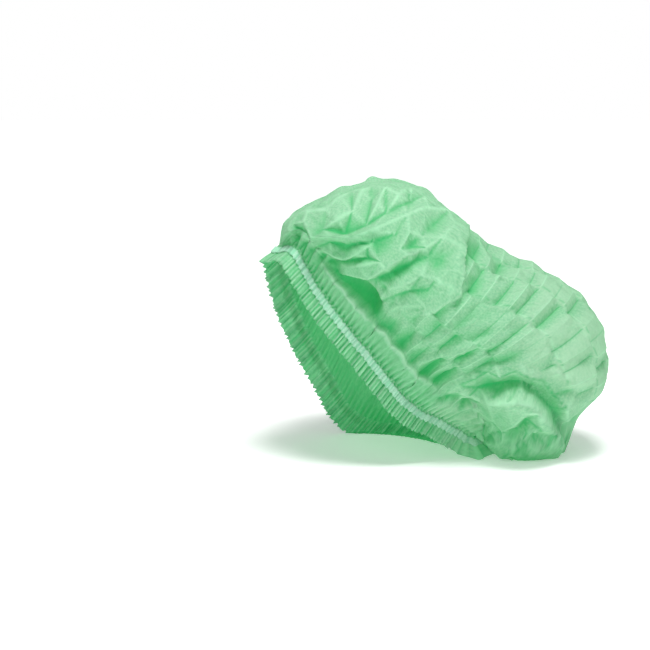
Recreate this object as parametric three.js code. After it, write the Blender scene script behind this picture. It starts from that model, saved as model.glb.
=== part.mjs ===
// A disposable hair cover cap, lying open on its crown with the opening down to the left.
//
// The real cap is one rectangle of spunbond nonwoven cloth. It is pleated along its length, and a loop of
// flat elastic gathers all four edges. Millimetres, +X right, +Y away from the viewer, +Z up. The origin is
// in the middle of the floor rectangle that the cap covers.

import * as THREE from "three";

// Outer size of the opened cap, measured over the base shape before pleats and ruffles.
const CAP_WIDTH = 277;
const CAP_DEPTH = 200;
const CAP_HEIGHT = 223;

// Cloth, elastic and the gap between them.
const CLOTH_WALL = 1.2;
const ELASTIC_WIDTH = 6;
const ELASTIC_THICKNESS = 0.8;
const CLEARANCE = 0.3;

// The gathered rim, from the crown's edge down to the free edge of the frill.
const COLLAR_STEP = 2.4;
const FRILL_LENGTH = 11.5;
const GATHER_WAVE = 0.45;
const FRILL_WAVE = 1.5;
const FRILL_FLARE = 1.6;
const RUFFLE_PITCH = 5.1;
const COLLAR_RISE = 14;

// The collar stands up from the elastic. It is full height at COLLAR_PEAK_SHARE of the way from the rim
// to the top, has sunk back into the crown at COLLAR_FOOT_SHARE, and dies out over COLLAR_FADE_SHARE at
// each end of the rim.
const COLLAR_PEAK_SHARE = 0.1;
const COLLAR_FOOT_SHARE = 0.6;
const COLLAR_FADE_SHARE = 0.06;

// The flat sheet, and the pleats and folds of the crown.
const SHEET_LENGTH = 480;
const SHEET_BREADTH = 410;
const PLEAT_DEPTH = 2;
const FOLD_HEIGHT = 10;
const FOLD_WIDTH = 20;
const PLEATS = 22;
const CROSS_FOLD_COUNT = 7.5;

// How much of a pleat keeps its side at the cross folds, and how far from the gathered edges, as shares of
// the sheet, the pleats and folds reach their full height.
const STEADY_PLEAT_SHARE = 0.4;
const END_FADE_SHARE = 0.12;
const RIM_FADE_SHARE = 0.06;

// How closely the sheet is divided.
const COLUMNS_PER_PLEAT = 2;
const ROWS = 30;

// Sections across the crown, from the upper left end of the opening to the lower right end. Each section is
// an arch from the near rim over the top to the far rim. X, Y and Z are shares of the cap's width, depth and
// height, and the two bulges are the arch's half depths as shares of the cap's depth.
const SECTION_COLUMNS = [
  "along",
  "nearX", "nearY", "nearZ",
  "topX", "topY", "topZ", "nearBulge",
  "farX", "farY", "farZ", "farBulge",
];
const SECTION_ROWS = [
  [0.000, -0.445, -0.175, 0.765, -0.466, -0.120, 0.760, 0.040, -0.452, -0.060, 0.717, 0.040],
  [0.060, -0.413, -0.240, 0.769, -0.446, -0.090, 0.846, 0.210, -0.445, 0.030, 0.638, 0.180],
  [0.140, -0.370, -0.300, 0.691, -0.365, -0.060, 0.916, 0.340, -0.420, 0.120, 0.523, 0.320],
  [0.240, -0.317, -0.340, 0.597, -0.235, -0.030, 0.974, 0.430, -0.373, 0.190, 0.377, 0.430],
  [0.340, -0.264, -0.365, 0.513, -0.107, -0.010, 0.987, 0.480, -0.315, 0.235, 0.240, 0.480],
  [0.440, -0.208, -0.375, 0.423, 0.039, 0.000, 0.871, 0.490, -0.260, 0.265, 0.111, 0.485],
  [0.540, -0.154, -0.370, 0.334, 0.163, 0.000, 0.726, 0.485, -0.195, 0.275, 0.050, 0.480],
  [0.640, -0.103, -0.350, 0.256, 0.301, -0.005, 0.660, 0.465, -0.131, 0.265, 0.037, 0.465],
  [0.740, -0.053, -0.315, 0.199, 0.418, -0.020, 0.567, 0.435, -0.067, 0.230, 0.032, 0.440],
  [0.820, -0.006, -0.275, 0.167, 0.474, -0.040, 0.411, 0.390, -0.009, 0.170, 0.032, 0.400],
  [0.890, 0.036, -0.240, 0.131, 0.474, -0.070, 0.254, 0.330, 0.039, 0.095, 0.035, 0.340],
  [0.935, 0.067, -0.210, 0.107, 0.404, -0.095, 0.136, 0.250, 0.072, 0.030, 0.044, 0.290],
  [0.957, 0.082, -0.195, 0.089, 0.353, -0.105, -0.026, 0.205, 0.088, -0.005, 0.040, 0.240],
  [0.978, 0.101, -0.180, 0.075, 0.270, -0.110, -0.051, 0.150, 0.104, -0.040, 0.036, 0.175],
  [1.000, 0.122, -0.160, 0.060, 0.152, -0.115, 0.051, 0.040, 0.125, -0.070, 0.031, 0.040],
];

// Folds of the crown. Each runs straight on the flat sheet from one place to another, given as shares along
// and across the sheet. Height is a share of FOLD_HEIGHT, below zero for a valley, and width of FOLD_WIDTH.
const FOLD_COLUMNS = ["fromAlong", "fromAcross", "toAlong", "toAcross", "height", "width"];
const FOLD_ROWS = [
  [0.24, 0.10, 0.36, 0.06, 0.7, 0.8],
  [0.36, 0.06, 0.62, 0.06, 0.6, 0.7],
  [0.27, 0.15, 0.42, 0.11, -1.5, 0.8],
  [0.42, 0.11, 0.62, 0.11, -0.7, 0.8],
  [0.10, 0.27, 0.31, 0.25, 0.8, 0.9],
  [0.31, 0.25, 0.36, 0.36, 0.7, 0.9],
  [0.12, 0.20, 0.26, 0.19, 0.7, 0.8],
  [0.24, 0.19, 0.45, 0.19, 0.9, 0.8],
  [0.43, 0.48, 0.49, 0.24, -1.1, 0.8],
  [0.52, 0.38, 0.56, 0.50, 0.7, 0.8],
  [0.57, 0.34, 0.59, 0.50, -0.8, 0.8],
  [0.63, 0.24, 0.64, 0.50, 0.6, 0.8],
  [0.80, 0.08, 0.86, 0.24, 1.0, 0.9],
  [0.86, 0.24, 0.95, 0.34, 0.8, 0.9],
  [0.76, 0.12, 0.83, 0.28, -1.2, 0.9],
  [0.83, 0.28, 0.90, 0.36, -1.0, 0.9],
  [0.86, 0.36, 0.93, 0.46, -0.9, 1.0],
  [0.30, 0.62, 0.44, 0.86, -0.9, 1.1],
  [0.52, 0.60, 0.60, 0.88, 0.9, 1.1],
  [0.70, 0.58, 0.78, 0.80, -0.9, 1.0],
  [0.18, 0.58, 0.24, 0.80, 0.7, 1.0],
];

const CLOTH_COLOUR = "#82d7a0";
const ELASTIC_COLOUR = "#c4ecd2";

// Turns a table's rows into objects with the names of its columns.
function namedRows(columns, rows) {
  return rows.map((row) => Object.fromEntries(columns.map((name, index) => [name, row[index]])));
}

// A smooth curve through the sections: the cubic that has the mean slope of its neighbours at each section.
function smoothTable(rows, key) {
  const last = rows.length - 1;
  const slope = (index) => {
    const before = rows[Math.max(index - 1, 0)];
    const after = rows[Math.min(index + 1, last)];
    return (after[key] - before[key]) / (after.along - before.along);
  };
  return (along) => {
    let index = 0;
    while (index < last - 1 && along > rows[index + 1].along) index += 1;
    const span = rows[index + 1].along - rows[index].along;
    const t = (along - rows[index].along) / span;
    const a = rows[index][key];
    const b = rows[index + 1][key];
    const slopeA = slope(index) * span;
    const slopeB = slope(index + 1) * span;
    return (
      a * (2 * t ** 3 - 3 * t ** 2 + 1) +
      slopeA * (t ** 3 - 2 * t ** 2 + t) +
      b * (3 * t ** 2 - 2 * t ** 3) +
      slopeB * (t ** 3 - t ** 2)
    );
  };
}

const sectionRows = namedRows(SECTION_COLUMNS, SECTION_ROWS);
const section = Object.fromEntries(
  SECTION_COLUMNS.slice(1).map((name) => [name, smoothTable(sectionRows, name)]),
);

function sectionPoint(name, along) {
  return new THREE.Vector3(
    section[`${name}X`](along) * CAP_WIDTH,
    section[`${name}Y`](along) * CAP_DEPTH,
    section[`${name}Z`](along) * CAP_HEIGHT,
  );
}

// The crown before its folds. Each half of an arch is part of an ellipse that bulges out past the rim.
function smoothCrown(along, across) {
  const isNear = across <= 0.5;
  const rim = sectionPoint(isNear ? "near" : "far", along);
  const top = sectionPoint("top", along);
  const reach = Math.abs(top.y - rim.y);
  const bulgeShare = isNear ? section.nearBulge(along) : section.farBulge(along);
  const bulge = Math.max(bulgeShare * CAP_DEPTH, reach);
  const start = -Math.acos(Math.min(reach / bulge, 1));
  const share = 1 - Math.abs(2 * across - 1);
  const angle = start + (Math.PI / 2 - start) * share;
  const climb = (Math.sin(angle) - Math.sin(start)) / (1 - Math.sin(start));
  const point = rim.clone().lerp(top, climb);
  point.y = top.y + (isNear ? -1 : 1) * bulge * Math.cos(angle);
  return point;
}

const foldRows = namedRows(FOLD_COLUMNS, FOLD_ROWS);

// The height of all folds at one place: each is a crease that falls off on both sides of its line.
function foldHeight(along, across) {
  const place = new THREE.Vector2(along * SHEET_LENGTH, across * SHEET_BREADTH);
  let height = 0;
  for (const fold of foldRows) {
    const from = new THREE.Vector2(fold.fromAlong * SHEET_LENGTH, fold.fromAcross * SHEET_BREADTH);
    const run = new THREE.Vector2(fold.toAlong * SHEET_LENGTH, fold.toAcross * SHEET_BREADTH).sub(from);
    const offset = place.clone().sub(from);
    const share = THREE.MathUtils.clamp(offset.dot(run) / run.lengthSq(), 0, 1);
    const distance = offset.sub(run.multiplyScalar(share)).length();
    height += fold.height * FOLD_HEIGHT * Math.exp(-distance / (fold.width * FOLD_WIDTH));
  }
  return height;
}

// A wave of straight ramps between 1 and -1, once per whole turn.
function zigzag(turns) {
  return 1 - 4 * Math.abs(turns - Math.round(turns));
}

// The pleats run across the sheet and change sides at each cross fold, which leaves a brick-like pattern.
function pleatHeight(along, across) {
  const side = STEADY_PLEAT_SHARE + (1 - STEADY_PLEAT_SHARE) * zigzag(across * CROSS_FOLD_COUNT);
  return PLEAT_DEPTH * (zigzag(along * PLEATS) * side - 1);
}

// Folds and pleats die out towards the gathered edges, where the elastic holds the cloth.
function edgeFade(along, across) {
  const toEnd = Math.min(along, 1 - along) / END_FADE_SHARE;
  const toRim = Math.min(across, 1 - across) / RIM_FADE_SHARE;
  return Math.min(toEnd, 1) * Math.min(toRim, 1);
}

const columns = PLEATS * COLUMNS_PER_PLEAT;

// Just above the elastic the cloth stands up as a collar before it bulges out.
function collarShare(along, across) {
  const share = 1 - Math.abs(2 * across - 1);
  const rise = Math.min(share / COLLAR_PEAK_SHARE, 1);
  const sink = THREE.MathUtils.smoothstep(share, COLLAR_PEAK_SHARE, COLLAR_FOOT_SHARE);
  return rise * (1 - sink) * Math.min(Math.min(along, 1 - along) / COLLAR_FADE_SHARE, 1);
}

function crownGrid() {
  const smooth = [];
  for (let column = 0; column <= columns; column += 1) {
    const line = [];
    for (let row = 0; row <= ROWS; row += 1) line.push(smoothCrown(column / columns, row / ROWS));
    smooth.push(line);
  }
  const up = openingDirection(crownEdge().map(([column, row]) => smooth[column][row])).negate();
  smooth.forEach((line, column) =>
    line.forEach((point, row) => {
      point.addScaledVector(up, COLLAR_RISE * collarShare(column / columns, row / ROWS));
    }),
  );
  return smooth.map((line, column) =>
    line.map((point, row) => {
      const along = column / columns;
      const across = row / ROWS;
      const before = smooth[Math.max(column - 1, 0)][row];
      const after = smooth[Math.min(column + 1, columns)][row];
      const alongRun = after.clone().sub(before);
      const acrossRun = line[Math.min(row + 1, ROWS)].clone().sub(line[Math.max(row - 1, 0)]);
      const outward = alongRun.cross(acrossRun).normalize();
      const height = (foldHeight(along, across) + pleatHeight(along, across)) * edgeFade(along, across);
      return point.clone().addScaledVector(outward, height);
    }),
  );
}

// The edge of the crown as one closed loop: near rim, right end, far rim back, left end back.
function crownEdge() {
  const edge = [];
  for (let column = 0; column < columns; column += 1) edge.push([column, 0]);
  for (let row = 0; row < ROWS; row += 1) edge.push([columns, row]);
  for (let column = columns; column > 0; column -= 1) edge.push([column, ROWS]);
  for (let row = ROWS; row > 0; row -= 1) edge.push([0, row]);
  return edge;
}

// The distance along a closed loop at each of its points, as a share of its whole length.
function loopShares(points) {
  const shares = [0];
  for (let index = 1; index <= points.length; index += 1) {
    shares.push(shares[index - 1] + points[index - 1].distanceTo(points[index % points.length]));
  }
  const whole = shares[points.length];
  return { whole, shares: shares.map((length) => length / whole) };
}

function evenLoop(points, count) {
  const { shares } = loopShares(points);
  const even = [];
  let index = 0;
  for (let step = 0; step < count; step += 1) {
    const share = step / count;
    while (shares[index + 1] < share) index += 1;
    const t = (share - shares[index]) / (shares[index + 1] - shares[index]);
    even.push(points[index].clone().lerp(points[(index + 1) % points.length], t));
  }
  return even;
}

// The direction that looks out of the opening: the mean plane of the loop, turned away from the crown.
function openingDirection(loop) {
  const normal = new THREE.Vector3();
  loop.forEach((point, index) => normal.add(point.clone().cross(loop[(index + 1) % loop.length])));
  return normal.normalize().negate();
}

// The rim's own frame at each step: its place, the way down the frill, and the way out from the head.
function rimFrames(loop) {
  const down = openingDirection(loop);
  return loop.map((place, index) => {
    const ahead = loop[(index + 1) % loop.length].clone();
    const along = ahead.sub(loop[(index + loop.length - 1) % loop.length]).normalize();
    const out = down.clone().cross(along).normalize();
    return { place, down, out };
  });
}

function rimPoint(frame, downBy, outBy) {
  return frame.place.clone().addScaledVector(frame.down, downBy).addScaledVector(frame.out, outBy);
}

// Collects triangles of the outer face of the sheet.
class OuterFace {
  constructor() {
    this.points = [];
    this.triangles = [];
  }

  add(point) {
    return this.points.push(point) - 1;
  }

  quad(a, b, c, d) {
    this.triangles.push([a, b, c], [a, c, d]);
  }

  // Joins two closed loops that run the same way but have different numbers of points.
  stitch(upper, lower) {
    const upperShares = loopShares(upper.map((id) => this.points[id])).shares;
    const lowerShares = loopShares(lower.map((id) => this.points[id])).shares;
    let i = 0;
    let j = 0;
    while (i < upper.length || j < lower.length) {
      const a = upper[i % upper.length];
      const b = lower[j % lower.length];
      const upperNext = i < upper.length ? upperShares[i + 1] : Infinity;
      const lowerNext = j < lower.length ? lowerShares[j + 1] : Infinity;
      if (upperNext <= lowerNext) {
        i += 1;
        this.triangles.push([a, b, upper[i % upper.length]]);
      } else {
        j += 1;
        this.triangles.push([a, b, lower[j % lower.length]]);
      }
    }
  }

  normals() {
    const normals = this.points.map(() => new THREE.Vector3());
    for (const [a, b, c] of this.triangles) {
      const edge = this.points[b].clone().sub(this.points[a]);
      const face = edge.cross(this.points[c].clone().sub(this.points[a]));
      for (const id of [a, b, c]) normals[id].add(face);
    }
    return normals.map((normal) => normal.normalize());
  }
}

function geometryFrom(points, triangles) {
  const geometry = new THREE.BufferGeometry();
  geometry.setAttribute("position", new THREE.Float32BufferAttribute(points.flatMap((p) => p.toArray()), 3));
  geometry.setIndex(triangles.flat());
  geometry.computeVertexNormals();
  return geometry;
}

// Gives the outer face its wall: an inner face, and a strip that closes the free edge. Cloth that would
// reach below the floor is laid flat on it.
function sheetGeometry(face, freeEdge) {
  const normals = face.normals();
  const count = face.points.length;
  const outer = [];
  const inner = [];
  face.points.forEach((point, id) => {
    const inside = point.clone().addScaledVector(normals[id], -CLOTH_WALL);
    const lift = Math.max(0, -point.z, -inside.z);
    outer.push(point.clone().setZ(point.z + lift));
    inner.push(inside.setZ(inside.z + lift));
  });
  const triangles = [];
  for (const [a, b, c] of face.triangles) {
    triangles.push([a, b, c], [a + count, c + count, b + count]);
  }
  freeEdge.forEach((a, index) => {
    const b = freeEdge[(index + 1) % freeEdge.length];
    triangles.push([a, a + count, b + count], [a, b + count, b]);
  });
  return geometryFrom([...outer, ...inner], triangles);
}

function buildSheet(grid, frames) {
  const face = new OuterFace();
  const ids = grid.map((line) => line.map((point) => face.add(point)));
  for (let column = 0; column < columns; column += 1) {
    for (let row = 0; row < ROWS; row += 1) {
      face.quad(ids[column][row], ids[column + 1][row], ids[column + 1][row + 1], ids[column][row + 1]);
    }
  }
  // Each ring below the crown: how far down it lies, its flare and the height of its ruffles.
  const frillTop = COLLAR_STEP + ELASTIC_WIDTH;
  const rings = [
    { down: COLLAR_STEP, flare: 0, wave: GATHER_WAVE },
    { down: frillTop, flare: 0, wave: GATHER_WAVE },
    { down: frillTop + FRILL_LENGTH / 2, flare: FRILL_FLARE / 2, wave: (GATHER_WAVE + FRILL_WAVE) / 2 },
    { down: frillTop + FRILL_LENGTH, flare: FRILL_FLARE, wave: FRILL_WAVE },
  ];
  const loops = rings.map(({ down, flare, wave }) =>
    frames.map((frame, index) => {
      const side = index % 2 === 0 ? 1 : -1;
      return face.add(rimPoint(frame, down, flare + side * wave));
    }),
  );
  face.stitch(crownEdge().map(([column, row]) => ids[column][row]), loops[0]);
  for (let ring = 0; ring + 1 < loops.length; ring += 1) {
    const upper = loops[ring];
    const lower = loops[ring + 1];
    upper.forEach((a, index) => {
      const next = (index + 1) % upper.length;
      face.quad(a, lower[index], lower[next], upper[next]);
    });
  }
  return sheetGeometry(face, loops[loops.length - 1]);
}

// The elastic is a flat closed loop just outside the tops of the gathers.
function buildElastic(frames) {
  const top = COLLAR_STEP + CLEARANCE;
  const bottom = COLLAR_STEP + ELASTIC_WIDTH - CLEARANCE;
  const near = GATHER_WAVE + CLEARANCE;
  const corners = [
    [top, near],
    [top, near + ELASTIC_THICKNESS],
    [bottom, near + ELASTIC_THICKNESS],
    [bottom, near],
  ];
  const points = frames.flatMap((frame) => corners.map(([down, out]) => rimPoint(frame, down, out)));
  const triangles = [];
  frames.forEach((frame, index) => {
    const here = index * corners.length;
    const next = ((index + 1) % frames.length) * corners.length;
    corners.forEach((corner, side) => {
      const other = (side + 1) % corners.length;
      triangles.push([here + side, here + other, next + other], [here + side, next + other, next + side]);
    });
  });
  return geometryFrom(points, triangles);
}

const grid = crownGrid();
const edgeLoop = crownEdge().map(([column, row]) => grid[column][row]);
const ruffles = Math.round(loopShares(edgeLoop).whole / RUFFLE_PITCH);
const frames = rimFrames(evenLoop(edgeLoop, 2 * ruffles));

function namedMesh(name, geometry, material) {
  const mesh = new THREE.Mesh(geometry, material);
  mesh.name = name;
  return mesh;
}

const cloth = new THREE.MeshStandardMaterial({ color: CLOTH_COLOUR, roughness: 0.85, metalness: 0 });
const elastic = new THREE.MeshStandardMaterial({ color: ELASTIC_COLOUR, roughness: 0.7, metalness: 0 });

const cap = new THREE.Group();
cap.add(namedMesh("cap_sheet", buildSheet(grid, frames), cloth));
cap.add(namedMesh("elastic_band", buildElastic(frames), elastic));

// Moves the cap so that the middle of its floor rectangle is the origin.
const bounds = new THREE.Box3().setFromObject(cap);
const middle = bounds.getCenter(new THREE.Vector3());
cap.position.set(-middle.x, -middle.y, -bounds.min.z);

export default cap;
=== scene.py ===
"""A disposable hair cover: an opened bag of pleated nonwoven cloth, gathered by a loop of flat elastic.

All lengths are in millimetres until a mesh is made, which is in metres.
The cloth is one sheet. Here along runs from 0 to 1 down the opening, and across from 0 at the near rim,
over the top, to 1 at the far rim. The creases, pleats, folds and ruffles are added to that smooth form one
after the other.
"""

import math

import bpy
import numpy as np
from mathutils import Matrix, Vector
from mathutils.geometry import delaunay_2d_cdt


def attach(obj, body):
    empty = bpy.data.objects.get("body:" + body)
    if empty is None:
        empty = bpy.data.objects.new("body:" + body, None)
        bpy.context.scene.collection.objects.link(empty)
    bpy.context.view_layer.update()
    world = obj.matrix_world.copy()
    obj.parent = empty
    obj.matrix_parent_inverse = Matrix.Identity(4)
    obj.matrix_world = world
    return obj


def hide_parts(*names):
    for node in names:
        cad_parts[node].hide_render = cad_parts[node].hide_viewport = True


MM = 0.001
SEED = 41

# Outer sizes of the lying cap.
CAP_WIDTH = 277.0
CAP_DEPTH = 200.0
CAP_HEIGHT = 223.0
# The sections are drawn round their own middle, this far from the middle of the finished cap.
MIDDLE_SHIFT = (6.44, -0.83, 0.0)

# The flat sheet that the cap is made of. A panel lies between two pleats, and a band between two cross folds.
SHEET_LENGTH = 480.0
SHEET_BREADTH = 410.0
PANELS = 34
BANDS = 11
# The mesh has its columns and rows at these shares of a panel or a band, and beside the rims at these
# shares of the breadth.
PANEL_COLUMNS = (0.0, 0.07, 0.24, 0.41, 0.59, 0.76, 0.93)
NEAR_BAND_ROWS = (0.0, 0.03, 0.09, 0.16, 0.24, 0.32, 0.40, 0.48, 0.56, 0.64, 0.72, 0.79, 0.85, 0.90, 0.95)
FAR_BAND_ROWS = (0.0, 0.05, 0.15, 0.27, 0.39, 0.51, 0.63, 0.75, 0.85, 0.93)
RIM_ROWS = (0.0, 0.006, 0.012, 0.018, 0.024, 0.030, 0.035, 0.039, 0.043, 0.048, 0.054, 0.060)

# The collar above the elastic: how high it rises, at which share of the way from the rim to the top it is
# highest, where it has sunk into the crown again, and how far from the two ends it fades.
COLLAR_RISE = 14.0
COLLAR_PEAK = 0.10
COLLAR_FOOT = 0.60
COLLAR_FADE = 0.06
# The mesh row that is moved onto the collar's upper edge, and how far from it other rows move along with it,
# both as shares of the breadth.
COLLAR_ROW = 0.030
COLLAR_ROW_REACH = 0.012
# The gathers that the elastic draws in: how high they are, and how far they reach up the collar.
GATHER_HEIGHT = 1.2
GATHER_REACH = 8.0
# The elastic's upper edge and the frill's free edge, both measured down from the rim.
ELASTIC_TOP = 2.3
FRILL_END = 20.2
RUFFLE_PITCH = 4.6
# The small puckers of the elastic between the ruffles.
PUCKER_PITCH = RUFFLE_PITCH * 0.62
PUCKER_HEIGHT = 0.30
# The frill is spread sideways more and more from the first to the second of these places along the width.
FRILL_SPREAD_FROM = 24.0
FRILL_SPREAD_TO = 40.0
CLOTH_THICKNESS = 0.22
# The cloth and the elastic come no closer to the table than this.
CLOTH_LOWEST = 0.2
ELASTIC_LOWEST = 0.3

# The wider flutes at the two ends of the rim: how far apart, how high, where they end as a share of the
# breadth, and how far their free upper ends lean over.
FLUTE_PITCH = 9.0
FLUTE_HEIGHT = 6.0
FLUTE_TIP = 0.046
FLUTE_LEAN = 3.0

# A bend of so many degrees between two facets shows as a full crease, painted as a highlight where it stands
# out and as shade where it sinks in.
FULL_BEND = 34.0
# Cloth that lies so many mm below the cloth around it gets the full painted shade, a deep green.
DEPTH_FOR_FULL_SHADE = 4.5
# How wide the painted line of a crease or of a fold's edge is, and the height from which an edge shows it in
# full.
LINE_WIDTH = 1.1
FULL_EDGE = 4.0

# How strongly the white surroundings and the two lamps light the cap.
AMBIENT_LIGHT = 0.22
KEY_WATTS = 18.5
FRONT_WATTS = 4
# How much the table top glows close to the cap, in place of light from a wider studio.
FLOOR_GLOW = 0.27

# How much of the light that meets one face of the cloth goes on through it, scattered or straight.
THROUGH_SHARE = 0.42
CLEAR_SHARE = 0.16
# How strongly the cloth glows green: painted light, for light that wanders inside the cloth and comes out of
# it.
PAINTED_GREEN_GLOW = 0.11

# Where the camera stands, in metres, and how many degrees it looks down.
CAMERA_PLACE = (-0.0860, -1.4530, 0.3312)
CAMERA_TILT = 9

# The cap's smooth form. Each row is one section of the opening's length. Places are shares of the cap's
# width, depth and height, and the two bulges are shares of its depth.
SECTION_COLUMNS = (
    "along", "nearX", "nearY", "nearZ", "topX", "topY", "topZ", "nearBulge",
    "farX", "farY", "farZ", "farBulge",
)
SECTION_ROWS = (
    (0, -0.445, -0.175, 0.765, -0.466, -0.12, 0.76, 0.04, -0.452, -0.06, 0.717, 0.04),
    (0.06, -0.413, -0.24, 0.769, -0.446, -0.09, 0.846, 0.21, -0.445, 0.03, 0.638, 0.18),
    (0.14, -0.37, -0.3, 0.691, -0.365, -0.06, 0.916, 0.34, -0.42, 0.12, 0.523, 0.32),
    (0.24, -0.317, -0.34, 0.597, -0.235, -0.03, 0.974, 0.43, -0.373, 0.19, 0.377, 0.43),
    (0.34, -0.264, -0.365, 0.513, -0.107, -0.01, 0.987, 0.48, -0.315, 0.235, 0.24, 0.48),
    (0.44, -0.208, -0.375, 0.423, 0.039, 0, 0.871, 0.49, -0.26, 0.265, 0.111, 0.485),
    (0.54, -0.154, -0.37, 0.334, 0.163, 0, 0.726, 0.485, -0.195, 0.275, 0.05, 0.48),
    (0.64, -0.103, -0.35, 0.256, 0.301, -0.005, 0.66, 0.465, -0.131, 0.265, 0.037, 0.465),
    (0.74, -0.053, -0.315, 0.199, 0.418, -0.02, 0.567, 0.435, -0.067, 0.23, 0.032, 0.44),
    (0.82, -0.006, -0.275, 0.167, 0.474, -0.04, 0.411, 0.39, -0.009, 0.17, 0.032, 0.4),
    (0.89, 0.036, -0.24, 0.131, 0.474, -0.07, 0.254, 0.33, 0.039, 0.095, 0.035, 0.34),
    (0.935, 0.067, -0.21, 0.107, 0.404, -0.095, 0.136, 0.25, 0.072, 0.03, 0.044, 0.29),
    (0.957, 0.082, -0.195, 0.089, 0.353, -0.105, -0.026, 0.205, 0.088, -0.005, 0.04, 0.24),
    (0.978, 0.101, -0.18, 0.075, 0.27, -0.11, -0.051, 0.15, 0.104, -0.04, 0.036, 0.175),
    (1, 0.122, -0.16, 0.06, 0.152, -0.115, 0.051, 0.04, 0.125, -0.07, 0.031, 0.04),
)


def section(name, along):
    """One column of the section table as a smooth curve along the opening."""
    place = SECTION_COLUMNS.index(name)
    knots = np.array([row[0] for row in SECTION_ROWS])
    values = np.array([row[place] for row in SECTION_ROWS])
    last = len(knots) - 1
    before = np.maximum(np.arange(last + 1) - 1, 0)
    after = np.minimum(np.arange(last + 1) + 1, last)
    slopes = (values[after] - values[before]) / (knots[after] - knots[before])
    i = np.clip(np.searchsorted(knots, along, side="left") - 1, 0, last - 1)
    gap = knots[i + 1] - knots[i]
    t = (along - knots[i]) / gap
    rise = t * t * (3 - 2 * t)
    start_slope = gap * (t**3 - 2 * t**2 + t)
    end_slope = gap * (t**3 - t**2)
    return values[i] * (1 - rise) + values[i + 1] * rise + slopes[i] * start_slope + slopes[i + 1] * end_slope


def section_point(name, along):
    return np.stack(
        [
            section(name + "X", along) * CAP_WIDTH,
            section(name + "Y", along) * CAP_DEPTH,
            section(name + "Z", along) * CAP_HEIGHT,
        ],
        axis=-1,
    )


def smoothstep(value, low, high):
    t = np.clip((value - low) / (high - low), 0, 1)
    return t * t * (3 - 2 * t)


def unit(vectors):
    return vectors / np.maximum(np.linalg.norm(vectors, axis=-1, keepdims=True), 1e-9)


def crown_form(along, across):
    """The crown without its collar or creases: an arch over each section, steeper where it bulges."""
    near = across <= 0.5
    rim = np.where(near[..., None], section_point("near", along), section_point("far", along))
    top = section_point("top", along)
    reach = np.abs(top[..., 1] - rim[..., 1])
    share = np.where(near, section("nearBulge", along), section("farBulge", along))
    bulge = np.maximum(share * CAP_DEPTH, reach)
    start = -np.arccos(np.minimum(reach / bulge, 1))
    angle = start + (math.pi / 2 - start) * (1 - np.abs(2 * across - 1))
    climb = (np.sin(angle) - np.sin(start)) / (1 - np.sin(start))
    place = rim + (top - rim) * climb[..., None]
    place[..., 1] = top[..., 1] + np.where(near, -1, 1) * bulge * np.cos(angle)
    return place


def opening_up():
    """The direction that the opening's plane faces, on the crown's side."""
    run = np.linspace(0, 1, 200)
    none = np.zeros(200)
    loop = np.concatenate(
        [
            crown_form(run, none),
            crown_form(none + 1, run),
            crown_form(run[::-1], none + 1),
            crown_form(none, run[::-1]),
        ]
    )
    return unit(np.cross(loop, np.roll(loop, -1, axis=0)).sum(axis=0))


UP = opening_up()


def smooth_form(along, across):
    """The crown with the collar that stands up above the elastic before the cloth spreads out."""
    share = 1 - np.abs(2 * across - 1)
    rise = np.minimum(share / COLLAR_PEAK, 1) * (1 - smoothstep(share, COLLAR_PEAK, COLLAR_FOOT))
    rise = rise * np.minimum(np.minimum(along, 1 - along) / COLLAR_FADE, 1)
    return crown_form(along, across) + UP * (COLLAR_RISE * rise)[..., None] + np.array(MIDDLE_SHIFT)


def directions(along, across):
    """The outward direction of the smooth form, and the two directions that run along and across it."""
    step = 0.004
    low_along = np.clip(along - step, 0, 1)
    high_along = np.clip(along + step, 0, 1)
    low_across = np.clip(across - step, 0, 1)
    high_across = np.clip(across + step, 0, 1)
    run_along = unit(smooth_form(high_along, across) - smooth_form(low_along, across))
    run_across = unit(smooth_form(along, high_across) - smooth_form(along, low_across))
    return unit(np.cross(run_along, run_across)), run_along, run_across


def noise(x, y, seed):
    """Smooth noise between -1 and 1 over any two coordinates, one bump to a unit square."""
    table = np.random.default_rng(seed).uniform(-1, 1, (64, 64))
    x0 = np.floor(x).astype(int)
    y0 = np.floor(y).astype(int)
    fx = x - x0
    fy = y - y0
    fx = fx * fx * (3 - 2 * fx)
    fy = fy * fy * (3 - 2 * fy)
    a = table[x0 % 64, y0 % 64] * (1 - fx) + table[(x0 + 1) % 64, y0 % 64] * fx
    b = table[x0 % 64, (y0 + 1) % 64] * (1 - fx) + table[(x0 + 1) % 64, (y0 + 1) % 64] * fx
    return a * (1 - fy) + b * fy


def facets(x, y, seed):
    """Flat facets with sharp creases between them, as in crumpled paper."""
    table = np.random.default_rng(seed).uniform(-1, 1, (64, 64))
    x = x + 0.45 * noise(x * 0.9, y * 0.9, seed + 50)
    y = y + 0.45 * noise(x * 0.9, y * 0.9, seed + 51)
    x0 = np.floor(x).astype(int)
    y0 = np.floor(y).astype(int)
    fx = x - x0
    fy = y - y0
    corner = table[x0 % 64, y0 % 64]
    right = table[(x0 + 1) % 64, y0 % 64]
    above = table[x0 % 64, (y0 + 1) % 64]
    across = table[(x0 + 1) % 64, (y0 + 1) % 64]
    lower = corner + fx * (right - corner) + fy * (across - right)
    upper = corner + fy * (above - corner) + fx * (across - above)
    return np.where(fx > fy, lower, upper)


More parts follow.
